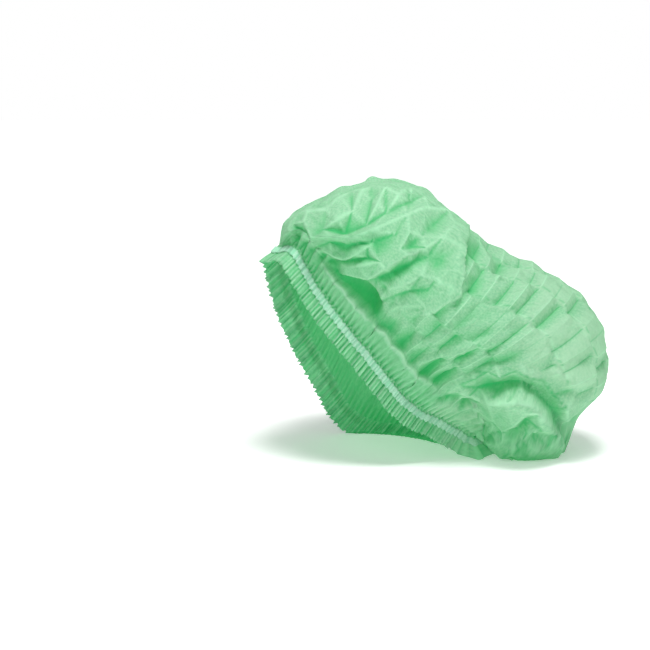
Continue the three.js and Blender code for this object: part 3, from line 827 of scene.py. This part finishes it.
def build_cloth():
    """The whole sheet: the crown's grid, and the frill's rings below its edge."""
    crown, along, across, crease, hollow = make_sheet()
    nu, nv = along.shape
    points = list(crown.reshape(-1, 3))
    uvs = list(np.stack([along * SHEET_LENGTH, across * SHEET_BREADTH], axis=-1).reshape(-1, 2) / 1000)
    faces = []
    for i in range(nu - 1):
        for j in range(nv - 1):
            a = i * nv + j
            faces.append((a, a + nv, a + nv + 1, a + 1))
    # The edge loop: the near rim, the right end, the far rim back, the left end back.
    loop = [i * nv for i in range(nu)]
    loop += [(nu - 1) * nv + j for j in range(1, nv)]
    loop += [i * nv + nv - 1 for i in range(nu - 2, -1, -1)]
    loop += [j for j in range(nv - 2, 0, -1)]
    edge = np.array([points[k] for k in loop])
    rings, shades, run, total, out, down = frill(edge)
    # On the sheet, the frill runs on beyond the side or corner that each point of the edge lies on.
    half = np.array([SHEET_LENGTH, SHEET_BREADTH]) / 2000
    from_middle = np.array([uvs[k] for k in loop]) - half
    beyond = np.where(np.abs(from_middle) >= half - 1e-6, np.sign(from_middle), 0)
    before = loop
    for ring, (drop, _, _) in zip(rings, FRILL_ROWS):
        start = len(points)
        points += list(ring)
        uvs += [uvs[k] + b * drop / 1000 for k, b in zip(loop, beyond)]
        now = list(range(start, start + len(ring)))
        for k in range(len(now)):
            n = (k + 1) % len(now)
            faces.append((before[k], now[k], now[n], before[n]))
        before = now
    cloth = new_mesh("nonwoven_sheet", points, faces, uvs)
    # Painted shade: the frill is a deeper green, most in the valleys of its ruffles; where it is bunched at
    # the low end of the near side it is painted paler instead, as painted light.
    bunched = smoothstep(edge[:, 0], 0, 30) * (edge[:, 1] < 0)
    frill_light_and_shade = [(0.38 - 0.26 * shade) * (1 - bunched) - 0.15 * bunched for shade in shades]
    whole_crease_shading = np.append(crease, np.concatenate(shades))
    whole_light_and_shade = np.append(hollow, np.concatenate(frill_light_and_shade))
    for name, values in (("crease", whole_crease_shading), ("hollow", whole_light_and_shade)):
        layer = cloth.data.attributes.new(name, "FLOAT", "POINT")
        layer.data.foreach_set("value", values)
    return cloth, edge, out, down, run, total


def build_elastic(edge, out, down, run, total):
    """The flat elastic on the outside of the gathers, puckered by them."""
    phase = 2 * math.pi * run / total * round(total / PUCKER_PITCH)
    pucker = PUCKER_HEIGHT * np.sin(phase + 1.1 * noise(run / 8, run * 0 + 5.5, 31))
    uneven = 0.25 * noise(run / 11, run * 0 + 6.1, 32)
    points = []
    faces = []
    size = len(ELASTIC_PROFILE)
    count = len(run)
    for k in range(count):
        for drop, height in ELASTIC_PROFILE:
            away = height + pucker[k] * (height > 1)
            points.append(edge[k] + down[k] * (ELASTIC_TOP + drop + uneven[k]) + out[k] * away)
    points = np.array(points)
    points[:, 2] = np.maximum(points[:, 2], ELASTIC_LOWEST)
    for k in range(count):
        n = (k + 1) % count
        for s in range(size):
            t = (s + 1) % size
            faces.append((k * size + s, n * size + s, n * size + t, k * size + t))
    uvs = [(run[k] / 1000, drop / 1000) for k in range(count) for drop, _ in ELASTIC_PROFILE]
    band = new_mesh("flat_elastic", points, faces, uvs)
    # 1 on the crest of each pucker and -1 in its valley.
    puckered = band.data.attributes.new("pucker", "FLOAT", "POINT")
    puckered.data.foreach_set("value", np.repeat(pucker / PUCKER_HEIGHT, size))
    return band


def linear(hex_colour):
    """A screen colour as the linear values that shaders take."""
    values = [int(hex_colour[k : k + 2], 16) / 255 for k in (1, 3, 5)]
    return tuple(v / 12.92 if v <= 0.04045 else ((v + 0.055) / 1.055) ** 2.4 for v in values) + (1.0,)


def node(tree, kind, settings=None, inputs=None):
    """Adds one shader node. Inputs are values, or (node, output name) pairs that are linked."""
    made = tree.nodes.new(kind)
    for key, value in (settings or {}).items():
        setattr(made, key, value)
    for key, value in (inputs or {}).items():
        if isinstance(value, tuple) and len(value) == 2 and hasattr(value[0], "outputs"):
            tree.links.new(value[0].outputs[value[1]], made.inputs[key])
        else:
            made.inputs[key].default_value = value
    return made


def cloth_material():
    """Green spunbond polypropylene, thermally bonded in a fine grid of points."""
    material = bpy.data.materials.new("spunbond_polypropylene_point_bonded")
    material.use_nodes = True
    tree = material.node_tree
    tree.nodes.clear()
    coord = node(tree, "ShaderNodeTexCoord")
    # Cloudy unevenness of the laid fibres, a few millimetres across.
    cloud = node(tree, "ShaderNodeTexNoise", {}, {"Vector": (coord, "UV"), "Scale": 420.0, "Detail": 3.0})
    # Single fibres, much finer, which give the dry grain.
    fibre = node(tree, "ShaderNodeTexNoise", {}, {"Vector": (coord, "UV"), "Scale": 1900.0, "Detail": 2.0})
    ramp = node(tree, "ShaderNodeValToRGB", {}, {"Fac": (cloud, "Fac")})
    ramp.color_ramp.elements[0].position = 0.30
    ramp.color_ramp.elements[0].color = linear("#9DC7AC")
    ramp.color_ramp.elements[1].position = 0.72
    ramp.color_ramp.elements[1].color = linear("#CBE0D0")
    # Painted light: a single layer of cloth, with nothing green behind it, and cloth that catches the light
    # are painted paler.
    hollow = node(tree, "ShaderNodeAttribute", {"attribute_name": "hollow"})
    single_layer_light = node(
        tree,
        "ShaderNodeMapRange",
        {},
        {"Value": (hollow, "Fac"), "From Min": 0.0, "From Max": -0.35, "To Max": 0.6},
    )
    plain = node(
        tree,
        "ShaderNodeMixRGB",
        {},
        {"Fac": (single_layer_light, "Result"), "Color1": (ramp, "Color"), "Color2": linear("#D6E2D6")},
    )
    # A crease is painted paler on its crest, a painted highlight where it catches the light and where the
    # fibres are scuffed, and painted deeper green in its valley, which is painted shade.
    crease_shading = node(tree, "ShaderNodeAttribute", {"attribute_name": "crease"})
    crest, valley = (
        node(
            tree,
            "ShaderNodeMapRange",
            {},
            {"Value": (crease_shading, "Fac"), "From Min": 0.05 * way, "From Max": 1.0 * way, "To Max": 0.75},
        )
        for way in (1, -1)
    )
    crest_highlight = node(
        tree,
        "ShaderNodeMixRGB",
        {},
        {"Fac": (crest, "Result"), "Color1": (plain, "Color"), "Color2": linear("#DCF8E6")},
    )
    colour = node(
        tree,
        "ShaderNodeMixRGB",
        {},
        {"Fac": (valley, "Result"), "Color1": (crest_highlight, "Color"), "Color2": linear("#4FB67A")},
    )
    # Painted shade: hollows are painted a deep, pure green, for light that reaches them after going through
    # the cloth many times.
    hollow_shade_share = node(
        tree,
        "ShaderNodeMapRange",
        {},
        {"Value": (hollow, "Fac"), "From Min": 0.05, "From Max": 1.0, "To Max": 0.85},
    )
    colour = node(
        tree,
        "ShaderNodeMixRGB",
        {},
        {"Fac": (hollow_shade_share, "Result"), "Color1": (colour, "Color"), "Color2": linear("#2CB56C")},
    )
    # Painted sheen: seen edge on, the cloth is painted paler, for the light that its surface fibres throw
    # back.
    sheen_facing = node(tree, "ShaderNodeLayerWeight", {}, {"Blend": 0.25})
    painted_sheen_share = node(tree, "ShaderNodeMath", {"operation": "MULTIPLY"}, {0: (sheen_facing, "Facing"), 1: 0.6})
    colour = node(
        tree,
        "ShaderNodeMixRGB",
        {},
        {"Fac": (painted_sheen_share, "Value"), "Color1": (colour, "Color"), "Color2": linear("#CBDDD0")},
    )
    # Light that comes through the cloth is a purer green than light that it throws back.
    passed = node(
        tree, "ShaderNodeMixRGB", {}, {"Fac": 0.7, "Color1": (colour, "Color"), "Color2": linear("#34CC7C")}
    )
    # Small sharp creases that cross each other: the edges between the cells of a bent cell pattern.
    bend = node(tree, "ShaderNodeTexNoise", {}, {"Vector": (coord, "UV"), "Scale": 30.0, "Detail": 1.0})
    bent = node(
        tree,
        "ShaderNodeVectorMath",
        {"operation": "MULTIPLY_ADD"},
        {0: (bend, "Color"), 1: (0.02, 0.02, 0.0), 2: (coord, "UV")},
    )
    cells = node(
        tree,
        "ShaderNodeTexVoronoi",
        {"feature": "DISTANCE_TO_EDGE"},
        {"Vector": (bent, "Vector"), "Scale": 60.0},
    )
    small_creases = node(
        tree, "ShaderNodeBump", {}, {"Height": (cells, "Distance"), "Strength": 0.45, "Distance": 0.007}
    )
    bump = node(
        tree,
        "ShaderNodeBump",
        {},
        {
            "Height": (fibre, "Fac"),
            "Strength": 0.35,
            "Distance": 0.0003,
            "Normal": (small_creases, "Normal"),
        },
    )
    face = node(
        tree,
        "ShaderNodeBsdfPrincipled",
        {},
        {
            "Base Color": (colour, "Color"),
            "Roughness": 0.78,
            "Specular IOR Level": 0.25,
            "Normal": (bump, "Normal"),
        },
    )
    through = node(
        tree, "ShaderNodeBsdfTranslucent", {}, {"Color": (passed, "Color"), "Normal": (bump, "Normal")}
    )
    mixed = node(
        tree, "ShaderNodeMixShader", {}, {"Fac": THROUGH_SHARE, 1: (face, "BSDF"), 2: (through, "BSDF")}
    )
    # Painted light: the cloth glows a weak, even, pure green, for light that wanders on inside it and comes
    # out elsewhere.
    glow = node(tree, "ShaderNodeEmission", {}, {"Color": linear("#1EE07A"), "Strength": PAINTED_GREEN_GLOW})
    mixed = node(tree, "ShaderNodeAddShader", {}, {0: (mixed, "Shader"), 1: (glow, "Emission")})
    clear = node(tree, "ShaderNodeBsdfTransparent", {}, {"Color": (0.75, 1.0, 0.85, 1.0)})
    final = node(
        tree, "ShaderNodeMixShader", {}, {"Fac": CLEAR_SHARE, 1: (mixed, "Shader"), 2: (clear, "BSDF")}
    )
    node(tree, "ShaderNodeOutputMaterial", {}, {"Surface": (final, "Shader")})
    return material


def elastic_material():
    """Woven elastic tape with rubber threads under a pale polyester cover."""
    material = bpy.data.materials.new("woven_rubber_elastic_tape")
    material.use_nodes = True
    tree = material.node_tree
    tree.nodes.clear()
    coord = node(tree, "ShaderNodeTexCoord")
    grain = node(tree, "ShaderNodeTexNoise", {}, {"Vector": (coord, "UV"), "Scale": 1300.0, "Detail": 2.0})
    ramp = node(tree, "ShaderNodeValToRGB", {}, {"Fac": (grain, "Fac")})
    ramp.color_ramp.elements[0].position = 0.3
    ramp.color_ramp.elements[0].color = linear("#8FC9A8")
    ramp.color_ramp.elements[1].position = 0.7
    ramp.color_ramp.elements[1].color = linear("#B9E4CA")
    # The tape is darker green in the valleys of its puckers, in lines across it.
    pucker = node(tree, "ShaderNodeAttribute", {"attribute_name": "pucker"})
    between = node(
        tree,
        "ShaderNodeMapRange",
        {},
        {"Value": (pucker, "Fac"), "From Min": 0.3, "From Max": -0.6, "To Max": 0.6},
    )
    colour = node(
        tree,
        "ShaderNodeMixRGB",
        {},
        {"Fac": (between, "Result"), "Color1": (ramp, "Color"), "Color2": linear("#6FBF93")},
    )
    bump = node(tree, "ShaderNodeBump", {}, {"Height": (grain, "Fac"), "Strength": 0.5, "Distance": 0.0004})
    face = node(
        tree,
        "ShaderNodeBsdfPrincipled",
        {},
        {
            "Base Color": (colour, "Color"),
            "Roughness": 0.7,
            "Specular IOR Level": 0.3,
            "Normal": (bump, "Normal"),
        },
    )
    node(tree, "ShaderNodeOutputMaterial", {}, {"Surface": (face, "BSDF")})
    return material


def floor_material():
    """A smooth white table top that fades into the white backdrop."""
    material = bpy.data.materials.new("matt_white_laminate")
    material.use_nodes = True
    tree = material.node_tree
    face = tree.nodes["Principled BSDF"]
    coord = node(tree, "ShaderNodeTexCoord")
    distance = node(tree, "ShaderNodeVectorMath", {"operation": "LENGTH"}, {0: (coord, "Object")})
    # Painted light: the table top glows, least close to the cap and more further out, so that it fades into
    # the white backdrop.
    glow = node(
        tree,
        "ShaderNodeMapRange",
        {"interpolation_type": "SMOOTHSTEP"},
        {
            "Value": (distance, "Value"),
            "From Min": 0.09,
            "From Max": 0.30,
            "To Min": FLOOR_GLOW,
            "To Max": 0.85,
        },
    )
    face.inputs["Base Color"].default_value = (0.93, 0.93, 0.93, 1.0)
    face.inputs["Roughness"].default_value = 0.6
    face.inputs["Specular IOR Level"].default_value = 0.2
    face.inputs["Emission Color"].default_value = (1.0, 1.0, 1.0, 1.0)
    tree.links.new(glow.outputs["Result"], face.inputs["Emission Strength"])
    material.cycles.emission_sampling = "NONE"
    return material


def area_light(name, place, aim, size, watts):
    data = bpy.data.lights.new(name, "AREA")
    data.shape = "RECTANGLE"
    data.size = size[0]
    data.size_y = size[1]
    data.energy = watts
    lamp = bpy.data.objects.new(name, data)
    lamp.location = place
    lamp.rotation_euler = (Vector(aim) - Vector(place)).to_track_quat("-Z", "Y").to_euler()
    bpy.context.scene.collection.objects.link(lamp)


def select_only(thing):
    bpy.ops.object.select_all(action="DESELECT")
    thing.select_set(True)
    bpy.context.view_layer.objects.active = thing


def studio():
    """The white table top and backdrop, two soft lamps and the camera."""
    bpy.ops.mesh.primitive_plane_add(size=12, location=(0, 0, 0))
    floor = bpy.context.active_object
    floor.name = "table_top"
    floor.data.materials.append(floor_material())
    world = bpy.data.worlds.new("white_studio")
    bpy.context.scene.world = world
    world.use_nodes = True
    # The backdrop is seen as plain white, but lights the cap less, so that its folds keep their shadows.
    tree = world.node_tree
    path = node(tree, "ShaderNodeLightPath")
    strength = node(
        tree,
        "ShaderNodeMapRange",
        {},
        {"Value": (path, "Is Camera Ray"), "To Min": AMBIENT_LIGHT, "To Max": 1.0},
    )
    background = tree.nodes["Background"]
    background.inputs["Color"].default_value = (1, 1, 1, 1)
    tree.links.new(strength.outputs["Result"], background.inputs["Strength"])
    area_light("key_softbox", (0.05, -0.40, 1.38), (0, 0, 0.10), (0.50, 0.50), KEY_WATTS)
    area_light("front_softbox", (-0.5, -1.3, 0.9), (0, 0, 0.10), (0.8, 0.8), FRONT_WATTS)
    bpy.context.scene.view_settings.view_transform = "Standard"

    lens = bpy.data.cameras.new("camera")
    lens.lens = 100
    lens.sensor_width = 36
    camera = bpy.data.objects.new("camera", lens)
    camera.location = CAMERA_PLACE
    camera.rotation_euler = (math.pi / 2 - math.radians(CAMERA_TILT), 0, 0)
    lens.clip_end = 50
    bpy.context.scene.collection.objects.link(camera)
    bpy.context.scene.camera = camera


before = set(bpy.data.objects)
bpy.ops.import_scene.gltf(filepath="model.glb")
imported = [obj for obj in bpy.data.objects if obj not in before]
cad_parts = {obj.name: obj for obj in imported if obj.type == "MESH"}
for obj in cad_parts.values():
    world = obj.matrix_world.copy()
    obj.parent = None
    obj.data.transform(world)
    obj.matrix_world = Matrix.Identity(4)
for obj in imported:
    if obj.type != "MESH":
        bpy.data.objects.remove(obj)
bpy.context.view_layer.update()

sheet, edge, out, down, run, total = build_cloth()
band = build_elastic(edge, out, down, run, total)

for thing, material in ((sheet, cloth_material()), (band, elastic_material())):
    thing.data.materials.append(material)
    select_only(thing)
    bpy.ops.object.mode_set(mode="EDIT")
    bpy.ops.mesh.select_all(action="SELECT")
    bpy.ops.mesh.normals_make_consistent(inside=False)
    bpy.ops.object.mode_set(mode="OBJECT")

wall = sheet.modifiers.new("cloth_thickness", "SOLIDIFY")
wall.thickness = CLOTH_THICKNESS * MM
wall.offset = -1.0

studio()

for piece, cad_node in ((sheet, "cap_sheet"), (band, "elastic_band")):
    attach(piece, "root")
    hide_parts(cad_node)
